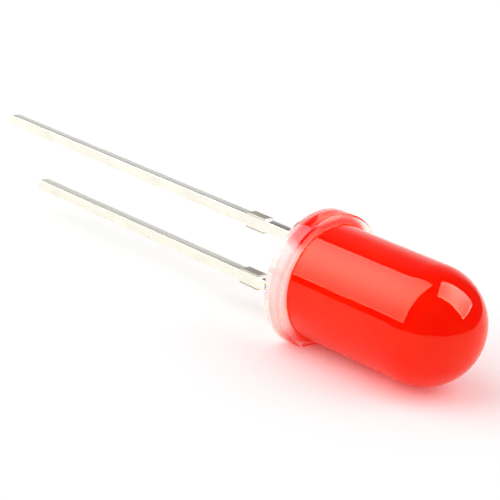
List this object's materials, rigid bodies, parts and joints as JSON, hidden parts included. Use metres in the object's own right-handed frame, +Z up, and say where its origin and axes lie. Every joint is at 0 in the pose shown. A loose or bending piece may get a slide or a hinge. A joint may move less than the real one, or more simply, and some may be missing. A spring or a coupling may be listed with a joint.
{
  "type": "through hole led",
  "caption": "Round red diffused light emitting diode lamp with a domed epoxy lens, a flange with one flat, and two straight tinned leads of unequal length.",
  "frame": {"origin": "on the surface that the lamp lies on, under the middle of its bounding box", "axes": "+X along the lamp's axis towards the dome, +Z up from the cathode lead to the anode lead, +Y across the lead frame"},
  "size_m": [0.0294, 0.0058, 0.0055],
  "materials": {
    "red_epoxy": "gloss",
    "tinned_lead": "satin",
    "chip": "satin",
    "silver_adhesive": "satin",
    "bond_wire": "polished"
  },
  "bodies": {
    "root": {"epoxy_body": "red_epoxy", "anode_lead": "tinned_lead", "cathode_lead": "tinned_lead", "led_chip": "chip", "die_attach": "silver_adhesive", "bond_wire": "bond_wire"}
  },
  "joints": []
}
